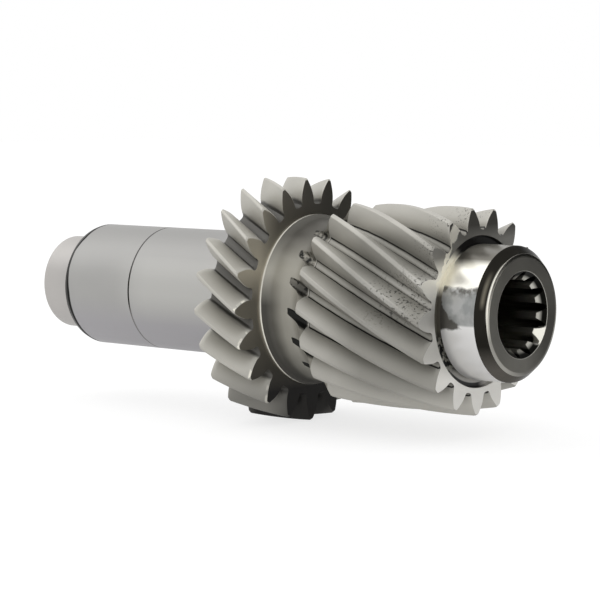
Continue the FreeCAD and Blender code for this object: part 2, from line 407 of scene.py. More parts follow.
def toothed_ring(name, rows, cut, face, tooth_at_face, finishes, closed=True):
    """Makes a sector from rows, runs the tree on it and finishes the piece."""
    mesh = sector(name + "_sector", rows, closed)
    values = {
        "Teeth": cut["teeth"],
        "Face X": face * MM,
        "Turn per metre": cut["turn_per_mm"] / MM,
        "First space": tooth_at_face + cut["half_pitch"],
        "Weld distance": WELD * MM,
    }
    for number in range(FINISHES):
        values[f"Finish {number}"] = finishes[min(number, len(finishes) - 1)].material
    mesh.materials.append(finishes[0].material)
    maker = put(name + "_maker", mesh)
    modifier = maker.modifiers.new("ring", "NODES")
    modifier.node_group = ring
    for item in ring.interface.items_tree:
        if item.in_out == "INPUT" and item.name in values:
            modifier[item.identifier] = values[item.name]
    evaluated = maker.evaluated_get(bpy.context.evaluated_depsgraph_get())
    result = bpy.data.meshes.new_from_object(evaluated)
    result.name = name
    maker.modifiers.clear()
    bpy.data.objects.remove(maker)
    finish_mesh(result, name)


# %% [markdown]
# ## Finishes
# All of it is one steel, but each way of cutting leaves its own skin. Ground seats are even
# and silvery, hobbed flanks are satin with painted shade in their roots, turned side faces are
# dark from hardening, the journal is polished. Three effects are shared, so each is a node group
# with named inputs: cloudy tone, lathe rings, and painted shade in the hollows.


# %% Small nodes that the finishes use
def mix_colors(tree, amount, first, second, blend="MIX"):
    node = tree.nodes.new("ShaderNodeMix")
    node.data_type = "RGBA"
    node.blend_type = blend
    feed(tree, node, 0, amount)
    feed(tree, node, "A", first, "RGBA")
    feed(tree, node, "B", second, "RGBA")
    return next(s for s in node.outputs if s.type == "RGBA")


def remap(tree, value, low, high, to_low=0.0, to_high=1.0):
    return output_of(
        tree, "ShaderNodeMapRange", Value=value, From_Min=low, From_Max=high,
        To_Min=to_low, To_Max=to_high)


def object_place(tree):
    return tree.nodes.new("ShaderNodeTexCoord").outputs["Object"]


def noise(tree, scale, detail):
    place = object_place(tree)
    return output_of(tree, "ShaderNodeTexNoise", Vector=place, Scale=scale, Detail=detail)


def shaft_axes(tree):
    """Sockets for a point's X, Y and Z on the shaft and its distance from the axis, in metres."""
    split = new_node(tree, "ShaderNodeSeparateXYZ", Vector=object_place(tree)).outputs
    y_squared = math_node(tree, "POWER", split["Y"], 2.0)
    z_squared = math_node(tree, "POWER", split["Z"], 2.0)
    radius = math_node(tree, "SQRT", math_node(tree, "ADD", y_squared, z_squared))
    return {"x": split["X"], "y": split["Y"], "z": split["Z"], "radius": radius}


def hollow_depth(tree):
    """How deep a point lies in its tooth space, which the sectors store."""
    node = tree.nodes.new("ShaderNodeAttribute")
    node.attribute_name = "hollow"
    return node.outputs["Fac"]


# %% Shared node groups
def group(name, output, kind, **inputs):
    """Starts a node group with one output. An input without a number is a colour."""
    tree = bpy.data.node_groups.new(name, "ShaderNodeTree")
    tree.interface.new_socket(output, in_out="OUTPUT", socket_type=kind)
    for label, number in inputs.items():
        kind = "NodeSocketColor" if number is None else "NodeSocketFloat"
        made = tree.interface.new_socket(label, in_out="INPUT", socket_type=kind)
        if number is not None:
            made.default_value = number
    print("node group:", name, list(inputs))
    result = tree.nodes.new("NodeGroupOutput").inputs[0]
    return tree, tree.nodes.new("NodeGroupInput").outputs, result


# Slow changes of tone over a metal skin, as handling, oil and hardening leave.
CLOUDY, given, result = group(
    "cloudy_tone", "Color", "NodeSocketColor", Light=None, Dark=None, Scale=60, Contrast=1)
centred = math_node(CLOUDY, "SUBTRACT", noise(CLOUDY, given["Scale"], 3), 0.5)
mask = math_node(CLOUDY, "MULTIPLY", centred, given["Contrast"])
mask = remap(CLOUDY, mask, -0.25, 0.25)
CLOUDY.links.new(mix_colors(CLOUDY, mask, given["Dark"], given["Light"]), result)

# Fine rings round the shaft's axis, as a lathe tool or a grinding wheel leaves.
RINGS, given, result = group(
    "turned_rings", "Height", "NodeSocketFloat", Along=3000, Outward=0)
axes = shaft_axes(RINGS)
along_part = math_node(RINGS, "MULTIPLY", axes["x"], given["Along"])
outward_part = math_node(RINGS, "MULTIPLY", axes["radius"], given["Outward"])
rings = new_node(RINGS, "ShaderNodeTexNoise", Scale=1, Detail=2)
rings.noise_dimensions = "1D"
feed(RINGS, rings, "W", math_node(RINGS, "ADD", along_part, outward_part))
RINGS.links.new(rings.outputs[0], result)

# A darker colour laid over a band of depth in the tooth spaces: painted shade at their roots
# and root corners, and between the bore's teeth.
HOLLOWS, given, result = group(
    "hollow_darkening", "Color", "NodeSocketColor",
    Color=None, Dirt=None, Centre=1, Width=0.3, Rag=0.2, Amount=0.7)
rag = math_node(HOLLOWS, "SUBTRACT", noise(HOLLOWS, 180, 3), 0.5)
rag = math_node(HOLLOWS, "MULTIPLY", rag, given["Rag"])
ragged = math_node(HOLLOWS, "ADD", hollow_depth(HOLLOWS), rag)
away = math_node(HOLLOWS, "SUBTRACT", ragged, given["Centre"])
away = math_node(HOLLOWS, "ABSOLUTE", away)
half_width = math_node(HOLLOWS, "MULTIPLY", given["Width"], 0.5)
mask = remap(HOLLOWS, away, given["Width"], half_width)
mask = math_node(HOLLOWS, "MULTIPLY", mask, given["Amount"])
HOLLOWS.links.new(mix_colors(HOLLOWS, mask, given["Color"], given["Dirt"]), result)


def use_group(tree, shared, **inputs):
    node = tree.nodes.new("ShaderNodeGroup")
    node.node_tree = shared
    for name, value in inputs.items():
        feed(tree, node, name, value)
    return node.outputs[0]


# %% [markdown]
# A metal's look is mostly what it mirrors, so each finish sets plain numbers on the Principled
# shader, and little but colour and height varies. Stains, wear, dirt, painted light and painted
# shade are layers over the cloudy colour, and show where all of their masks do. A mask is a ramp
# along one axis of the shaft. Most layers have one on Y that keeps them on the camera's side.


# %% Steel with layers of colour
RING_HEIGHT = 0.00002
# Colour of painted cream highlights.
CREAM_HIGHLIGHT = (0.98, 0.95, 0.84)
# Colour of worn edges and of painted highlights.
WEAR_AND_HIGHLIGHT = (0.95, 0.92, 0.82)


class Steel:
    """A steel finish, with layers of colour that show where their masks do.

    A mask is a socket, or an axis and two places on it in millimetres: where the layer starts
    and where it is full. Its amount when full may follow, or its amounts at both places.
    """

    def __init__(self, name, light, dark, roughness, scale, contrast=1.0, metallic=1.0):
        self.material = bpy.data.materials.new(name)
        self.material.use_nodes = True
        self.tree = self.material.node_tree
        self.shader = self.tree.nodes["Principled BSDF"].inputs
        self.shader["Metallic"].default_value = metallic
        self.shader["Roughness"].default_value = roughness
        self.axes = shaft_axes(self.tree)
        tones = {"Light": (*light, 1), "Dark": (*dark, 1)}
        self.show(use_group(self.tree, CLOUDY, Scale=scale, Contrast=contrast, **tones))
        print("finish:", name)

    def show(self, color):
        """Gives a colour to the shader, and keeps it for the next layer to cover."""
        self.color = color
        self.tree.links.new(color, self.shader["Base Color"])

    def rings(self, along, outward, strength):
        """Bumps the finish with fine rings."""
        height = use_group(self.tree, RINGS, Along=along, Outward=outward)
        bump = output_of(
            self.tree, "ShaderNodeBump", Height=height, Strength=strength, Distance=RING_HEIGHT)
        self.tree.links.new(bump, self.shader["Normal"])

    def darken_hollows(self, darkening, **band):
        """Darkens a band of depth in the tooth spaces, as painted shade."""
        self.show(use_group(self.tree, HOLLOWS, Color=self.color, Dirt=(*darkening, 1), **band))

    def noise(self, scale, detail, *spread):
        """A mask of noise, spread out between a low and a high value."""
        return remap(self.tree, noise(self.tree, scale, detail), *spread)

    def add_axis(self, name, shares, shift=0.0, rag=None):
        """Adds an axis from shares of others, a shift and a noise's scale, detail and reach."""
        total = shift * MM
        for axis, share in shares.items():
            part = math_node(self.tree, "MULTIPLY", self.axes[axis], share)
            total = math_node(self.tree, "ADD", part, total)
        if rag:
            scale, detail, reach = rag
            ragged = self.noise(scale, detail, 0.0, 1.0, -reach * MM, reach * MM)
            total = math_node(self.tree, "ADD", total, ragged)
        self.axes[name] = total

    def where(self, *masks):
        """Where all of these masks show."""
        result = None
        for mask in masks:
            if isinstance(mask, tuple):
                axis, start, full, *amounts = mask
                amounts = [0.0, *(amounts or [1.0])][-2:]
                mask = remap(self.tree, self.axes[axis], start * MM, full * MM, *amounts)
            result = mask if result is None else math_node(self.tree, "MULTIPLY", result, mask)
        return result

    def either(self, first, second, how="MAXIMUM"):
        """Two masks or axes joined: where either shows, or as another way of joining says."""
        return math_node(self.tree, how, self.where(first), self.where(second))

    def between(self, first, second, *masks):
        """A colour that turns from first to second where the masks show."""
        return mix_colors(self.tree, self.where(*masks), (*first, 1), (*second, 1))

    def lay(self, color, *masks, blend="MIX"):
        """Lays a colour over what is there, where all of these masks show."""
        if not isinstance(color, bpy.types.NodeSocket):
            color = (*color, 1)
        self.show(mix_colors(self.tree, self.where(*masks), self.color, color, blend))


# %% [markdown]
# ### Ground seat and turned stub
# The wheel left the seat an even silver grey. Painted shade makes it a little darker above and
# below, and painted light brightens its middle on the right. A dark line runs round its far edge
# and is thicker below and at the top, where its axis starts later.

# %% Ground seat and stub
EDGE_LINE_THIN = -199.0
EDGE_LINE_THICK = -197.9
ground = Steel("ground_seat", (0.45, 0.445, 0.43), (0.41, 0.405, 0.395), 0.52, 30, metallic=0.85)
ground.rings(4000, 0, 0.12)
# Painted shade above and below, and painted light across the middle on the right.
ground.lay((0.37, 0.365, 0.355), ("z", 10, 20, 0.8))
ground.lay((0.405, 0.395, 0.408), ("z", -3, -14))
ground.lay((0.51, 0.505, 0.485), ("x", -172, -155), ("z", -12, 0), ("z", 15, 8))
thick = ground.either(("z", 8, -2), ("z", 15, 20))
line_from = remap(ground.tree, thick, 0, 1, EDGE_LINE_THIN * MM, EDGE_LINE_THICK * MM)
ground.axes["past line"] = ground.either(ground.axes["x"], line_from, "SUBTRACT")
ground.lay((0.01, 0.01, 0.009), ("past line", 0.2, -0.1))
turned_stub = Steel("turned_stub", (0.54, 0.52, 0.5), (0.47, 0.455, 0.44), 0.52, 40, metallic=0.85)
turned_stub.rings(2500, 2500, 0.2)

# %% [markdown]
# ### Dark skins
# What no wheel has ground keeps the black skin of hardening: chamfers, grooves and the thin
# turned mark. The mark fades above and below. The hob's gashes are grey, with painted shade in
# their deeper parts. The groove round the journal is painted black as shade, speckled low down
# and brown in the middle, with a painted cream highlight above and painted light on its inner
# part below.

# %% Dark skin of the unground places
dark_turned = Steel("dark_turned", (0.03, 0.028, 0.024), (0.008, 0.008, 0.007), 0.35, 80)
dark_turned.rings(2500, 2500, 0.3)
faint = dark_turned.either(("z", -4, -10, 0.8), ("z", 6, 12, 0.5))
dark_turned.lay((0.26, 0.255, 0.25), ("x", -170, -168), ("x", -158, -160), faint)

gash = Steel("gash", (0.34, 0.325, 0.28), (0.24, 0.23, 0.2), 0.5, 250, 1.6, 0.7)
gash.add_axis("ragged x", {"x": 1}, rag=(300, 3, 2))
patchy = gash.either(gash.noise(500, 3, 0.42, 0.58), ("z", 14, 4))
# Painted shade in the gashes' deeper parts, solid low down and patchy above.
gash.lay((0.012, 0.012, 0.01), ("ragged x", -64.2, -65.6), ("radius", 33.8, 32.6), patchy)

# %% Groove round the journal
# Painted shade: the groove is near black.
groove = Steel("face_groove", (0.012, 0.011, 0.01), (0.005, 0.005, 0.005), 0.5, 80, metallic=0.3)
speckle = groove.noise(600, 3, 0.46, 0.57)
groove.lay((0.36, 0.35, 0.31), speckle, ("z", -4, -8), ("z", -23, -19), ("y", -8, -12))
groove.lay((0.15, 0.14, 0.115), ("z", -9, -5), ("y", -12, -18))
# A painted cream highlight above.
groove.lay(CREAM_HIGHLIGHT, ("z", 7, 11), ("z", 24, 20), ("y", -10, -14))
# Painted light on the groove's inner part, low down.
inner_part = groove.either(("radius", 26.4, 26), ("y", 1, 5))
groove.lay((0.5, 0.485, 0.455), inner_part, ("z", -19, -21.5), ("y", 14, 8))

# %% [markdown]
# ### Side faces
# Both were turned, so their rings follow each other outwards. The large gear's is darker, with
# painted light at the upper left, painted shade at the top and painted black shade low down. The
# pinion's has painted shade at the top, painted light below and in a pale patch, and a ragged
# streak of painted cream highlight beside the journal. The streak's axis is the distance from a
# slanted line, less a knot's width.

# %% Side face of the large gear
gear_side = Steel("gear_side", (0.3, 0.28, 0.235), (0.22, 0.205, 0.17), 0.5, 35, 1.2, 0.8)
gear_side.rings(0, 1800, 0.2)
# Painted light at the upper left, painted shade at the top, painted black shade low down.
gear_side.lay((0.58, 0.54, 0.45), ("y", -22, -32), ("z", 2, 13))
gear_side.lay((0.06, 0.056, 0.046), ("y", -34, 8, 0.95), ("z", 6, 22))
gear_side.lay((0.012, 0.011, 0.01), ("z", -10, -34), ("x", -102, -92), ("y", 36, 20))

# %% Side face of the pinion
KNOT_WIDTH = 1.4
pinion_side = Steel("pinion_side", (0.68, 0.665, 0.625), (0.57, 0.56, 0.525), 0.5, 60, 1.2, 0.7)
pinion_side.rings(0, 1800, 0.2)
# Painted shade at the top, painted light below and in a pale patch.
top_shade = pinion_side.either(("z", 12, 21, 0.6), ("z", 26, 32, 0.4), "ADD")
pinion_side.lay((0.09, 0.087, 0.076), top_shade)
pinion_side.lay((0.88, 0.865, 0.82), ("z", -14, -24))
pinion_side.lay((0.95, 0.93, 0.86), ("z", 3, 9, 0.85), ("z", 21, 14), ("y", -12, -20))
# A ragged streak of painted cream highlight beside the journal.
pinion_side.add_axis("across", {"y": 0.877, "z": -0.479}, 28.1, (300, 4, 3))
off_line = math_node(pinion_side.tree, "ABSOLUTE", pinion_side.axes["across"])
knot = ("z", 26, 30, KNOT_WIDTH * MM)
pinion_side.axes["off streak"] = pinion_side.either(off_line, knot, "SUBTRACT")
pinion_side.lay(CREAM_HIGHLIGHT, ("off streak", 1.3, 0.7), ("z", 6, 12), ("y", 0, -6))

# %% [markdown]
# ### Hobbed flanks
# The hob leaves a satin skin, and painted shade darkens the root corners. On the large gear the
# lower teeth carry painted shade and the edges at the left are worn bright. The pinion's flanks
# have painted shade on their root floors and across a middle band, painted light near the right
# end, and spots at the right end.


# %% Flanks of the large gear
def hobbed(name, light, dark, **band):
    finish = Steel(name, light, dark, 0.5, 45, metallic=0.6)
    finish.darken_hollows((0.01, 0.009, 0.008), **band)
    finish.rings(900, 300, 0.12)
    return finish


gear_flank = hobbed(
    "gear_flank", (0.58, 0.565, 0.515), (0.5, 0.485, 0.44),
    Centre=1, Width=0.24, Rag=0.15, Amount=0.8)
# Painted shade on the lower teeth.
gear_flank.lay((0.16, 0.155, 0.14), ("z", -24, -38, 0.75))
chips = gear_flank.noise(260, 3, 0.46, 0.54)
at_edge = gear_flank.where(("x", -87.3, -86.9), ("radius", 40.5, 41.5))
gear_flank.lay(WEAR_AND_HIGHLIGHT, chips, at_edge, ("y", -26, -32), ("z", 12, 4))
# Painted black shade low down on the front.
gear_flank.add_axis("ragged z", {"z": 1}, rag=(120, 3, 5))
gear_flank.lay((0.02, 0.019, 0.017), ("ragged z", -28, -36), ("y", -21, -14), ("y", 20, 8))

# %% Flanks of the pinion
pinion_flank = hobbed(
    "pinion_flank", (0.56, 0.545, 0.5), (0.5, 0.485, 0.44),
    Centre=0.92, Width=0.05, Rag=0.03, Amount=1)
# Painted shade on the root floors and across a middle band, painted light near the right end.
in_root = remap(pinion_flank.tree, hollow_depth(pinion_flank.tree), 0.945, 0.965)
pinion_flank.lay((0.7, 0.7, 0.69), in_root, blend="MULTIPLY")
middle_shade = pinion_flank.where(("z", 32, 26), ("z", -34, -28), ("x", -55, -40, 0.2, 1))
pinion_flank.lay((0.66, 0.66, 0.655), middle_shade, blend="MULTIPLY")
painted_pale = pinion_flank.where(("x", -40, -12, 0.45), ("y", -22, -30))
pinion_flank.lay((0.8, 0.785, 0.73), painted_pale, ("z", 0, 8), ("z", 19, 13))
spots = pinion_flank.noise(1500, 2, 0.6, 0.66)
patch = pinion_flank.noise(160, 2, 0.42, 0.56)
spotted = pinion_flank.where(spots, patch, ("x", -24, -10), ("z", -8, 6))
pits = pinion_flank.noise(850, 3, 0.575, 0.615, 0, 0.8)
pitted = pinion_flank.where(pits, ("x", -36, -24), ("z", -5, 1), ("z", 18, 13), ("y", -24, -29))
pinion_flank.lay((0.03, 0.03, 0.027), pinion_flank.either(spotted, pitted))

# %% [markdown]
# ### Neck and journal
# The neck has painted shade beside the lip and above and below. The journal is polished for its
# bearing. Painted reflection makes its lower half light. A grey bloom with a dark fringe covers
# its middle, a painted dark reflection lies along its top, and a brown stain creeps in from the
# pinion along a slanted, ragged axis. Above the bloom a painted cream reflection lies on a skin
# that is more of a mirror, so the metallic share varies too.

# %% Neck
neck = Steel("neck_skin", (0.44, 0.425, 0.375), (0.38, 0.365, 0.32), 0.55, 50, metallic=0.7)
neck.rings(1500, 1500, 0.15)
# Painted shade beside the lip and above and below.
lip_shade = neck.where(("x", LIP_RIGHT + 9, LIP_RIGHT + 1.5), ("z", 12, 0, 0.95))
shade = neck.either(("z", -14, -30, 0.35), ("z", 14, 26, 0.75))
neck.lay((0.06, 0.057, 0.05), neck.either(lip_shade, shade))

# %% Polished journal with a stain
journal = Steel("journal", (0.62, 0.615, 0.6), (0.58, 0.575, 0.565), 0.3, 90, metallic=0.6)
journal.rings(3500, 0, 0.06)
journal.add_axis("ragged z", {"z": 1}, rag=(140, 4, 2))
journal.add_axis("reach", {"z": 0.85, "x": 1}, rag=(170, 4, 7))
front = journal.where(("y", -10, -14))
painted_pale = journal.where(("ragged z", 9.6, 11.2), ("y", -8, -12))
metal = journal.either(("y", -6, 6, 0.3, 0.75), journal.where(painted_pale, 0.7))
journal.tree.links.new(metal, journal.shader["Metallic"])
# Painted reflections: the lower half light, a cream band above the bloom.
journal.lay((0.93, 0.92, 0.905), ("z", -2.2, -3))
journal.lay((0.95, 0.93, 0.85), painted_pale)
mottle = journal.noise(220, 4, 0.4, 0.6, 0.45, 1)
journal.lay((0.33, 0.34, 0.335), mottle, ("z", -3, -2.2), ("ragged z", 11.2, 9.6))
fringe = journal.noise(420, 3, 0.42, 0.58)
at_fringe = journal.where(("ragged z", 11.2, 10.2), ("ragged z", 7.2, 9.2))
journal.lay((0.15, 0.145, 0.13), fringe, at_fringe, front)
# A painted dark reflection along the top.
journal.lay((0.19, 0.18, 0.155), ("z", 18.3, 20.5))
stained = journal.where(("reach", -2, -3.4), ("ragged z", -4.5, -3.7))
journal.lay((0.09, 0.085, 0.075), stained, ("z", 11, 7), front)

# %% [markdown]
# ### The splined end
# The chamfer is black and glossy, with a painted brown highlight streak, a painted bright
# crescent near its inner edge and painted light low down. Its inner edge is a thin rim, with a
# painted highlight at the upper left and painted shade below. Painted shade darkens the flat ring
# towards the far side. The bore is painted black as shade between its teeth and further in,
# lighter below, with a painted glint near its mouth.

# %% Chamfer
chamfer = Steel("end_chamfer", (0.026, 0.024, 0.02), (0.014, 0.013, 0.011), 0.26, 60)
chamfer.shader["Specular Tint"].default_value = (0.55, 0.55, 0.55, 1)
# A painted brown highlight streak, a painted bright crescent near the inner edge, and painted
# light low down.
streak = chamfer.where(("radius", 22.8, 23.4), ("radius", 24.2, 23.6), ("y", -14, -18))
chamfer.lay((0.15, 0.138, 0.108), streak, ("z", 3, 6), ("z", 17, 12))
crescent = chamfer.where(("radius", 22.6, 22.3), ("y", -9, -13))
chamfer.lay((0.9, 0.875, 0.78), crescent, ("z", -2, 4), ("z", 20, 14))
chamfer.lay((0.11, 0.102, 0.09), ("z", -10, -19, 0.8))

# %% Bright rims and end ring
# The lip's light cream steel paints the highlight on its chamfer.
bright_rim = Steel("bright_rim", (0.72, 0.7, 0.62), (0.6, 0.58, 0.52), 0.28, 80)
end_rim = Steel("end_rim", (0.34, 0.33, 0.295), (0.28, 0.27, 0.245), 0.3, 80)
# Painted shade below, darker at the right, and a painted highlight at the upper left.
low_tone = end_rim.between((0.3, 0.29, 0.265), (0.12, 0.117, 0.106), ("y", -10, 2))
end_rim.lay(low_tone, ("z", -8, -15))
end_rim.lay(WEAR_AND_HIGHLIGHT, ("y", -8, -14), ("z", -8, 2))
end_ring = Steel("end_ring", (0.19, 0.184, 0.163), (0.13, 0.126, 0.112), 0.45, 60, metallic=0.9)
end_ring.rings(0, 2500, 0.2)
# Painted shade towards the far side.
end_ring.lay((0.03, 0.028, 0.024), ("y", 2, 14, 0.65), ("z", 12, -2))

# %% Bore
bore = Steel("bore", (0.55, 0.54, 0.49), (0.42, 0.41, 0.37), 0.4, 120)
# Painted shade between the teeth and further in, lighter below, and a painted glint near the
# mouth.
bore.darken_hollows((0.006, 0.006, 0.005), Centre=1, Width=0.75, Rag=0.1, Amount=1)
deep = bore.between((0.14, 0.135, 0.11), (0.36, 0.35, 0.29), ("z", -2, -10))
bore.lay(deep, ("x", 8, -4))
glint = bore.where(("y", 9, 11), ("x", 7.8, 8.5))
bore.lay((0.95, 0.93, 0.84), glint, ("z", -5, -6), ("z", -12, -11))

# %% [markdown]
# ## Large gear
# Its spaces run straight through from face to face. The rows start on the hidden inner wall,
# climb the left side face, run along the teeth and come down the right side face.


# %% Rows of the large gear
FLANK, SIDE = 0, 1
SIDE_STEPS = 3


def side_rows(cut, x, outline, inner):
    """Rows that lead from a section's outline down its side face to the inner wall."""
    radii, angles, hollow = outline
    target = np.linspace(-cut["half_pitch"], cut["half_pitch"], len(radii))
    return [
        (x, radii + (inner - radii) * t, angles + (target - angles) * t, hollow * 0, SIDE)
        for t in np.linspace(0, 1, SIDE_STEPS + 1)[1:]
    ]


GEAR_ROWS = 15
INSET = 0.3
rim = gear_cut["tip"]
face_outline = pitch_row(gear_cut, rim - TIP_CHAMFER, 0.0, INSET)
rows = side_rows(gear_cut, GEAR_LEFT, face_outline, INNER_RADIUS)[::-1]
rows.append((GEAR_LEFT, *face_outline, FLANK))
for x in np.linspace(GEAR_LEFT + TIP_CHAMFER, GEAR_RIGHT - TIP_CHAMFER, GEAR_ROWS):
    rows.append((x, *pitch_row(gear_cut, rim), FLANK))
rows.append((GEAR_RIGHT, *face_outline, SIDE))
rows += side_rows(gear_cut, GEAR_RIGHT, face_outline, INNER_RADIUS)
finishes = gear_flank, gear_side
toothed_ring("large_gear", rows, gear_cut, GEAR_RIGHT, GEAR_TOOTH_AT_FACE, finishes)

# %% [markdown]
# ## Neck and pinion
# The hob is a round cutter. It has to stop before it meets the big gear, so its rim leaves
# curved run-out gashes that climb to the neck's surface. Each row asks how far the hob's rim
# has risen at its own place. The teeth end in a steep shoulder, and coves lead down from it and
# from the lip on the gear's side to the neck. The grinding wheel that finished the flanks did
# not reach the gashes. Their deeper parts are painted dark as shade, solid low down, patchy above.


# %% Profile of the neck and the hob's rise
def hob_rise(travel):
    return HOB_RADIUS - math.sqrt(max(0.0, HOB_RADIUS**2 - travel**2))


def hollow_arc(x, low, high):
    """Radius at x on a hollow arc between two (x, radius) points, level at its lower one."""
    length = abs(high[0] - low[0])
    height = high[1] - low[1]
    bend = (length**2 + height**2) / (2 * height)
    travel = min(length, abs(x - low[0]))
    return low[1] + bend - math.sqrt(bend**2 - travel**2)


clear_rise = gear_cut["tip"] + HOB_TO_GEAR - pinion_cut["root"]
clear_travel = math.sqrt(HOB_RADIUS**2 - (HOB_RADIUS - clear_rise) ** 2)
HOB_STOP = GEAR_RIGHT + pinion_cut["slant"] * clear_travel


def neck_rim(x):
    """Radius of the blank: lip cove, neck, shoulder cove, shoulder, tips of the teeth."""
    if x >= PINION_LEFT:
        return pinion_cut["tip"]
    if x >= SHOULDER_FOOT:
        t = (x - SHOULDER_FOOT) / (PINION_LEFT - SHOULDER_FOOT)
        return SHOULDER_FOOT_RADIUS + (pinion_cut["tip"] - SHOULDER_FOOT_RADIUS) * t
    if x > SHOULDER_COVE_START:
        foot = (SHOULDER_FOOT, SHOULDER_FOOT_RADIUS)
        return hollow_arc(x, (SHOULDER_COVE_START, NECK_RADIUS), foot)
    if x < LIP_COVE_END:
        return hollow_arc(x, (LIP_COVE_END, NECK_RADIUS), (LIP_RIGHT, LIP_RADIUS))
    return NECK_RADIUS


NECK, RIM, GASH, GROOVE = 2, 3, 4, 5


def pinion_row(x):
    """A row of the neck or the teeth: what the hob cut in the neck has a finish of its own."""
    rise = hob_rise(max(0.0, HOB_STOP - x) / pinion_cut["slant"])
    radii, angles, hollow = pitch_row(pinion_cut, neck_rim(x), rise)
    if x >= GROUND_FROM:
        return x, radii, angles, hollow, FLANK
    in_space = np.maximum(hollow[:-1], hollow[1:]) > 0
    return x, radii, angles, hollow, np.where(in_space, GASH, NECK)


print("hob stops %.1f mm from the gear" % (HOB_STOP - GEAR_RIGHT))

# %% [markdown]
# The lip is turned, so its rows are circles. The neck's rows stand close together where the
# gashes climb out of the metal.

# %% Rows of the neck and the pinion
COARSE_STEP = 0.8
FINE_STEP = 0.3
FINEST_STEP = 0.25
FINE_FROM = -75.1
PINION_ROWS = 50
GROOVE_EDGE = 0.15
columns = len(pinion_row(0.0)[1])
rows = round_rows(pinion_cut, columns, (
    (GEAR_RIGHT - 2.0, INNER_RADIUS, SIDE), (GEAR_RIGHT - 2.0, LIP_RADIUS, RIM),
    (GEAR_RIGHT + 0.4, LIP_RADIUS, RIM), (GEAR_RIGHT + 0.7, LIP_RADIUS - 0.1, RIM),
    (GEAR_RIGHT + 0.92, LIP_RADIUS - 0.3, RIM),
))
for x in (
    LIP_RIGHT + 0.12,
    *np.arange(LIP_RIGHT + 0.5, FINE_FROM - 0.6, COARSE_STEP),
    *np.arange(FINE_FROM, GROUND_FROM - 0.2, FINE_STEP),
    *np.arange(GROUND_FROM, PINION_LEFT - 0.1, FINEST_STEP),
    *np.linspace(PINION_LEFT, PINION_RIGHT - TIP_CHAMFER, PINION_ROWS),
):
    rows.append(pinion_row(x))
face_outline = pitch_row(pinion_cut, pinion_cut["tip"] - TIP_CHAMFER, 0.0, INSET)
rows.append((PINION_RIGHT, *face_outline, SIDE))
rows += side_rows(pinion_cut, PINION_RIGHT, face_outline, FACE_GROOVE_RADIUS + GROOVE_EDGE)
groove_bottom = PINION_RIGHT - FACE_GROOVE_DEPTH
rows += round_rows(pinion_cut, columns, (
    (PINION_RIGHT - GROOVE_EDGE, FACE_GROOVE_RADIUS, GROOVE),
    (groove_bottom, FACE_GROOVE_RADIUS - FACE_GROOVE_SLOPE, GROOVE),
    (groove_bottom, INNER_RADIUS, GROOVE),
))
finishes = pinion_flank, pinion_side, neck, bright_rim, gash, groove
toothed_ring("neck_and_pinion", rows, pinion_cut, PINION_RIGHT, PINION_TOOTH_AT_FACE, finishes)

# %% [markdown]
# ## Held edges
# Soft shading spreads over a whole face, so a long face between two rounded edges would look
# like a barrel. A row of points close to each end holds the roundness at the edge.


# %% Hold the edges of a turned profile
HELD = 0.3


def held_edges(profile):
    """Adds a point near both ends of each long stretch of (x, radius, finish) points."""
    held = [profile[0]]
    for before, after in zip(profile, profile[1:]):
        start, end = np.array(before[:2]), np.array(after[:2])
        length = np.hypot(*(end - start))
        if length > 4 * HELD:
            step = HELD / length * (end - start)
            held += [(*(start + step), before[2]), (*(end - step), before[2])]
        held.append(after)
    print("points of the profile:", len(profile), "held with", len(held) - len(profile))
    return held


# %% [markdown]
# ## Splined end
# One mesh runs from the bottom of the bore out through the spline, over the end ring, down the
# chamfer and along the journal. The bore's rows follow the spline's outline wherever the
# mouth's cone has not cut it away, and the outside rows are plain circles.

# %% Rows of the splined end
SPLINE_HALF = math.pi / SPLINE_TEETH
SPLINE_PRESSURE = math.radians(30)
SPLINE_BASE = SPLINE_PITCH * math.cos(SPLINE_PRESSURE)
spline_cut = dict(teeth=SPLINE_TEETH, half_pitch=SPLINE_HALF, turn_per_mm=0.0)


def spline_row(cone_radius):
    """One pitch of the internal spline, where the mouth's cone may have cut it."""
    radii, angles = [SPLINE_ROOT], [0.0]
    for r in np.linspace(SPLINE_ROOT, SPLINE_TIP, 7):
        here = math.acos(min(1.0, SPLINE_BASE / r))
        radii.append(r)
        angles.append(SPLINE_HALF / 2 + involute(SPLINE_PRESSURE) - involute(here))
    radii += [SPLINE_TIP, SPLINE_TIP]
    angles += [(angles[-1] + SPLINE_HALF) / 2, SPLINE_HALF]
    radii = np.maximum(radii, cone_radius)
    hollow = np.clip((radii - SPLINE_TIP) / (SPLINE_ROOT - SPLINE_TIP), 0, 1)
    if cone_radius >= MOUTH_RADIUS:
        hollow *= 0
    return both_halves(radii, np.array(angles), hollow)


SPLINE_ROWS = 8
MOUTH_ROWS = 14
RELIEF_RADIUS = SPLINE_ROOT + 0.6
DRILL_HALF_ANGLE = math.radians(59)
BORE, RING, JOURNAL, EDGE_RIM, CHAMFER, GROOVE_WALL = range(6)
columns = len(spline_row(0.0)[0])
drill_point = BORE_TAIL_END - BORE_RADIUS / math.tan(DRILL_HALF_ANGLE)
rows = round_rows(spline_cut, columns, (
    (drill_point, 0.0, BORE), (BORE_TAIL_END, BORE_RADIUS, BORE),
    (BORE_RELIEF_END, BORE_RADIUS, BORE), (BORE_RELIEF_END, RELIEF_RADIUS, BORE),
    (SPLINE_END, RELIEF_RADIUS, BORE),
))
cone_start = END_FACE - (MOUTH_RADIUS - SPLINE_TIP)
for x in (
    *np.linspace(SPLINE_END, cone_start, SPLINE_ROWS),
    *np.linspace(cone_start, END_FACE, MOUTH_ROWS)[1:],
):
    cone = MOUTH_RADIUS - (END_FACE - x)
    rows.append((x, *spline_row(cone), BORE))

# %% [markdown]
# The outside goes on from the bore's mouth: flat ring, rounded rim, chamfer, journal, and the
# groove's inner wall, which leads back inside the metal.

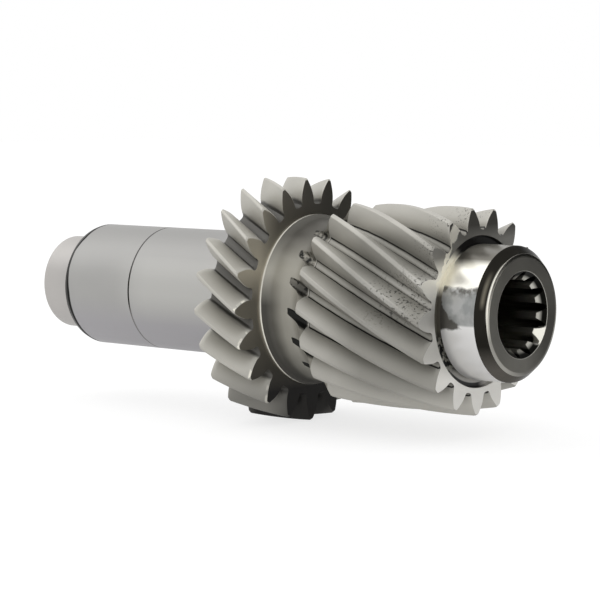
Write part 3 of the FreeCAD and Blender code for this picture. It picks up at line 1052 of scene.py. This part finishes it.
# %% Outside of the splined end
END_RADIUS = 22.0
END_SLOPE = math.atan2(SHAFT_RADIUS - END_RADIUS, END_FACE - JOURNAL_RIGHT)
ROUNDING = 1.05
ROUNDING_ON_CHAMFER = 0.45 * ROUNDING
outer_profile = [(END_FACE, MOUTH_RADIUS + 0.1, RING)]
edge_start = np.array([END_FACE, END_RADIUS - ROUNDING])
edge_corner = np.array([END_FACE, END_RADIUS])
down_the_chamfer = np.array([-math.cos(END_SLOPE), math.sin(END_SLOPE)])
edge_end = edge_corner + ROUNDING_ON_CHAMFER * down_the_chamfer
rim_points = rounded_corner(edge_start, edge_corner, edge_end, 8)[:-1]
outer_profile += [(x, radius, EDGE_RIM) for x, radius in rim_points] + [
    (*edge_end, CHAMFER), (JOURNAL_RIGHT + 0.25, SHAFT_RADIUS - 0.2, CHAMFER),
    (JOURNAL_RIGHT - 0.3, SHAFT_RADIUS, JOURNAL), (PINION_RIGHT + 0.2, SHAFT_RADIUS, JOURNAL),
    (PINION_RIGHT, SHAFT_RADIUS - 0.12, GROOVE_WALL),
    (PINION_RIGHT - 5, SHAFT_RADIUS - FACE_GROOVE_SLOPE, GROOVE_WALL),
    (drill_point - 5, INNER_RADIUS + 0.5, GROOVE_WALL), (drill_point - 5, 0.0, GROOVE_WALL),
]
rows += round_rows(spline_cut, columns, held_edges(outer_profile))
finishes = bore, end_ring, journal, end_rim, chamfer, groove
toothed_ring("splined_end", rows, spline_cut, END_FACE, SPLINE_TOOTH_AT_FACE, finishes, False)

# %% [markdown]
# ## Stub and long seat
# The far half of the shaft is plain turned work, so a half section is spun round the axis. Its
# edges are broken. The lead-in chamfer and the two grooves stay dark, as no wheel grinds them.


# %% Spin the long seat
def spun(name, profile, finishes, segments=256):
    """Spins (x, radius, finish) rows into a closed mesh with one material slot per finish."""
    points, faces, slots = [], [], []
    for x, radius, _ in profile:
        points += [on_shaft(x, radius, math.tau * k / segments) for k in range(segments)]
    for i in range(len(profile) - 1):
        for k in range(segments):
            n = (k + 1) % segments
            here, there = i * segments, (i + 1) * segments
            faces.append((here + k, here + n, there + n, there + k))
            slots.append(profile[i][2])
    mesh = bpy.data.meshes.new(name)
    mesh.from_pydata(points, [], faces)
    for finish in finishes:
        mesh.materials.append(finish.material)
    mesh.polygons.foreach_set("material_index", slots)
    finish_mesh(mesh, name)


STUB, SEAT, BLACK = 0, 1, 2
CENTRE_DEPTH = 10.2
CENTRE_CONE = 5.2
CENTRE_MOUTH = 5.0
CENTRE_PILOT = 2.0
MARK_HALF_WIDTH = 0.4
groove_floor = SHAFT_RADIUS - GROOVE_DEPTH
groove_left = GEAR_LEFT - GROOVE_WIDTH
profile = [
    (STUB_LEFT + CENTRE_DEPTH, 0.0, BLACK), (STUB_LEFT + CENTRE_DEPTH, CENTRE_PILOT, BLACK),
    (STUB_LEFT + CENTRE_CONE, CENTRE_PILOT, BLACK), (STUB_LEFT, CENTRE_MOUTH, STUB),
    (STUB_LEFT, STUB_RADIUS - 1.7, STUB), (STUB_LEFT + 0.2, STUB_RADIUS - 1.4, STUB),
    (STUB_LEFT + 1.4, STUB_RADIUS - 0.15, STUB), (STUB_LEFT + 1.7, STUB_RADIUS, STUB),
    (SEAT_LEFT - 0.5, STUB_RADIUS, STUB), (SEAT_LEFT - 0.1, STUB_RADIUS + 0.1, BLACK),
    (SEAT_LEFT, STUB_RADIUS + 0.5, BLACK), (SEAT_LEFT, SHAFT_RADIUS - 0.75, BLACK),
    (SEAT_LEFT + 0.15, SHAFT_RADIUS - 0.55, BLACK), (SEAT_LEFT + 1.6, SHAFT_RADIUS - 0.07, BLACK),
    (SEAT_LEFT + 1.85, SHAFT_RADIUS, SEAT), (MARK - MARK_HALF_WIDTH, SHAFT_RADIUS, BLACK),
    (MARK, SHAFT_RADIUS - 0.3, BLACK), (MARK + MARK_HALF_WIDTH, SHAFT_RADIUS, SEAT),
    (groove_left, SHAFT_RADIUS, BLACK), (groove_left + 0.7, groove_floor, BLACK),
    (GEAR_LEFT + 5, groove_floor, BLACK), (GEAR_LEFT + 5, 0.0, BLACK),
]
spun("stub_and_seat", held_edges(profile), (turned_stub, ground, dark_turned))

# %% [markdown]
# ## Ride the frame
# Every piece moves with the shaft's one body and stands for the imported solid, which is
# hidden.

for piece in shaft_pieces:
    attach(piece, "root")
    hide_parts(NODE)
print("pieces:", [piece.name for piece in shaft_pieces])

# %% [markdown]
# ## Floor, light and camera
# The shaft lies on a plain white floor in a white room. Steel shows what surrounds it, so the
# room is white to the camera and in mirrors, and shape comes from a soft lamp and a dark card
# that stands where the surfaces mirror it, as a photographer sets one for metal.


# %% Floor
def plain_material(name, color):
    material = bpy.data.materials.new(name)
    material.use_nodes = True
    shader = material.node_tree.nodes["Principled BSDF"].inputs
    shader["Base Color"].default_value = (*color, 1)
    shader["Roughness"].default_value = 1.0
    shader["Specular IOR Level"].default_value = 0.0
    return material, material.node_tree, shader


def seen_or_mirrored(tree):
    """1 for rays from the camera and for those mirrored by metal or bent by glass, else 0."""
    path = tree.nodes.new("ShaderNodeLightPath").outputs
    mirrored = math_node(tree, "MAXIMUM", path["Is Glossy Ray"], path["Is Transmission Ray"])
    return math_node(tree, "MAXIMUM", path["Is Camera Ray"], mirrored)


SHAFT_MIDDLE = -0.09
FLOOR_Z = -gear_cut["tip"] * MM
FLOOR_GAP = 0.0002
FLOOR_GLOW = 0.73
floor_skin, tree, shader = plain_material("studio_floor", (0.35, 0.35, 0.35))
shader["Emission Color"].default_value = (1, 1, 1, 1)
glow = math_node(tree, "MULTIPLY", seen_or_mirrored(tree), FLOOR_GLOW)
tree.links.new(glow, shader["Emission Strength"])
bpy.ops.mesh.primitive_plane_add(size=8, location=(SHAFT_MIDDLE, 0, FLOOR_Z - FLOOR_GAP))
floor = bpy.context.object
floor.name = "studio_floor"
floor.data.materials.append(floor_skin)
print("floor at %.4f m" % (FLOOR_Z - FLOOR_GAP))

# %% White room
ROOM_LIGHT = 0.9
world = bpy.data.worlds.new("studio")
bpy.context.scene.world = world
world.use_nodes = True
tree = world.node_tree
tree.nodes.clear()
room = tree.nodes.new("ShaderNodeBackground")
room.inputs["Color"].default_value = (1, 1, 1, 1)
strength = remap(tree, seen_or_mirrored(tree), 0.0, 1.0, ROOM_LIGHT, 1.0)
tree.links.new(strength, room.inputs["Strength"])
tree.links.new(room.outputs[0], tree.nodes.new("ShaderNodeOutputWorld").inputs[0])


# %% Lamp
def turn_to_shaft(thing, place, x, front):
    """Puts a thing at a place and turns its front to the shaft's axis at x."""
    thing.location = Vector(place)
    aim = Vector((x, 0, 0)) - thing.location
    thing.rotation_euler = aim.to_track_quat(front, "Y").to_euler()
    print(thing.name, "at", place)


key_light = bpy.data.lights.new("key_light", "AREA")
key_light.size = 1.2
key_light.energy = 3.2
turn_to_shaft(put("key_light", key_light), (-0.95, -0.35, 1.15), SHAFT_MIDDLE, "-Z")

# %% Dark card, seen only in the metal's mirror
CARD_WIDTH = 0.55
CARD_HEIGHT = 0.34
bpy.ops.mesh.primitive_plane_add(size=1)
card = bpy.context.object
card.name = "card_behind"
card.scale = (CARD_WIDTH, CARD_HEIGHT, 1)
turn_to_shaft(card, (0.20, 0.27, 0.12), -0.05, "Z")
card.data.materials.append(plain_material("dark_card", (0.02, 0.02, 0.018))[0])
card.visible_camera = False
card.visible_diffuse = False
card.visible_shadow = False

# %% [markdown]
# The camera stands at the photograph's angle: about forty degrees round from the side and a
# little above, far away with a long lens.

# %% Camera
CAMERA_PLACE = Vector((459.3, -656.4, 78.5)) * MM
CAMERA_LOOKS = Vector((-0.64183, 0.76131, -0.0920))
camera_data = bpy.data.cameras.new("camera")
camera_data.lens = 132
camera_data.sensor_width = 36
camera = put("camera", camera_data)
camera.location = CAMERA_PLACE
camera.rotation_euler = CAMERA_LOOKS.to_track_quat("-Z", "Y").to_euler()
camera_data.clip_start = 0.01
camera_data.clip_end = 50
bpy.context.scene.camera = camera
bpy.context.scene.view_settings.view_transform = "Standard"
print("camera:", [round(v, 3) for v in CAMERA_PLACE], "lens", camera_data.lens)
